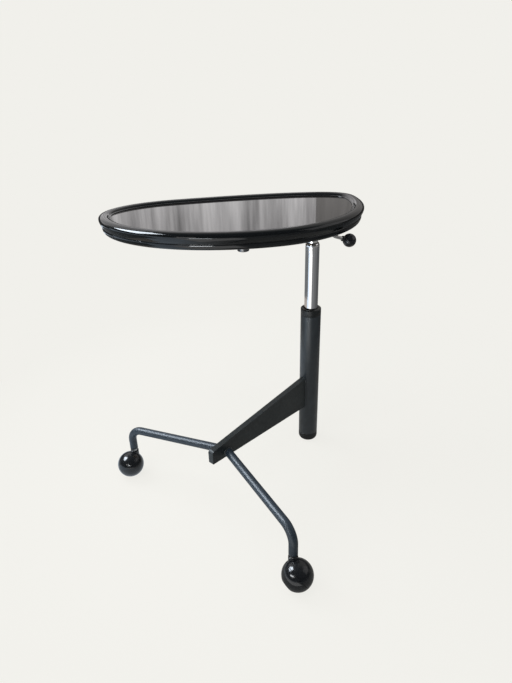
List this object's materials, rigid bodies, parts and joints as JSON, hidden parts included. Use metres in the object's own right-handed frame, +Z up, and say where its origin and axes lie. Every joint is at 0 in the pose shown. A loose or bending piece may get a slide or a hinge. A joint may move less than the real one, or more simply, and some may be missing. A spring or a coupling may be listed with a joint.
{
  "type": "adjustable side table",
  "caption": "Height-adjustable side table: gas-spring column on a flat arm with castor legs, and an oval sunk-panel top carried near its edge, freed by a lever.",
  "frame": {"origin": "on the column's axis, at the flat underside of the column's foot, on the floor", "axes": "+Z up along the column; the arm plate runs from the column to -Y, midway between the two legs, which spread to -X and +X"},
  "size_m": [0.6778, 0.6356, 0.5137],
  "materials": {
    "graphite_paint": "satin",
    "plate_paint": "satin",
    "black_plastic": "matte",
    "gloss_black": "gloss",
    "castor_black": "gloss",
    "rim_black": "semi-gloss",
    "chrome": "polished",
    "bright_steel": "brushed",
    "rubber": "matte",
    "board_wood": "raw"
  },
  "bodies": {
    "base": {"column_tube": "graphite_paint", "column_collar": "black_plastic", "column_foot": "black_plastic", "rod_seat": "bright_steel", "arm_plate": "plate_paint", "leg_left": "graphite_paint", "leg_right": "graphite_paint", "stem_bush_left": "black_plastic", "stem_bush_right": "black_plastic"},
    "rod": {"piston_rod": "bright_steel", "piston": "black_plastic", "thrust_bearing": "bright_steel", "rod_clip": "bright_steel", "rod_buffer": "rubber"},
    "lift": {"gas_cylinder": "chrome", "cylinder_gland": "black_plastic", "head_hub": "plate_paint", "head_plate": "plate_paint", "head_screw_near": "bright_steel", "head_screw_far": "bright_steel", "head_screw_inner": "bright_steel", "support_boss": "chrome", "top_board": "board_wood", "top_panel": "gloss_black", "edge_rim": "rim_black", "lever_bracket": "bright_steel", "lever_pivot_pin": "bright_steel"},
    "lever": {"lever_rod": "bright_steel", "lever_neck": "black_plastic", "lever_knob": "gloss_black"},
    "valve_pin": {"release_pin": "bright_steel"},
    "castor_left": {"castor_stem_left": "bright_steel", "castor_hood_left": "castor_black", "castor_axle_left": "castor_black"},
    "castor_right": {"castor_stem_right": "bright_steel", "castor_hood_right": "castor_black", "castor_axle_right": "castor_black"},
    "wheel_left": {"castor_wheel_left": "gloss_black"},
    "wheel_right": {"castor_wheel_right": "gloss_black"}
  },
  "joints": [
    {"name": "top_swivel", "type": "hinge", "parent": "base", "child": "rod", "pos_m": [0, 0, 0], "axis": [0, 0, 1], "continuous": true},
    {"name": "height_slide", "type": "slide", "parent": "rod", "child": "lift", "axis": [0, 0, 1], "range_m": [-0.115, 0.085]},
    {"name": "lever_press", "type": "hinge", "parent": "lift", "child": "lever", "pos_m": [-0.0123, -0.01824, 0.4987], "axis": [-0.829, 0.5592, 0], "range_deg": [0, 5], "stiffness_Nm_per_rad": 2, "springref_deg": -5.73},
    {"name": "valve_push", "type": "slide", "parent": "lift", "child": "valve_pin", "axis": [0, 0, -1], "range_m": [0, 0.0025]},
    {"name": "castor_swivel_left", "type": "hinge", "parent": "base", "child": "castor_left", "pos_m": [-0.2156, -0.3346, 0], "axis": [0, 0, 1], "continuous": true},
    {"name": "castor_swivel_right", "type": "hinge", "parent": "base", "child": "castor_right", "pos_m": [0.2156, -0.3346, 0], "axis": [0, 0, 1], "continuous": true},
    {"name": "wheel_roll_left", "type": "hinge", "parent": "castor_left", "child": "wheel_left", "pos_m": [-0.21429, -0.34954, 0.0272], "axis": [-0.8448, -0.0739, -0.5299], "continuous": true},
    {"name": "wheel_roll_right", "type": "hinge", "parent": "castor_right", "child": "wheel_right", "pos_m": [0.22951, -0.34022, 0.0272], "axis": [-0.3177, -0.7863, -0.5299], "continuous": true}
  ],
  "couplings": [
    {"joint": "valve_push", "follows": "lever_press", "m_per_rad": 0.022}
  ]
}
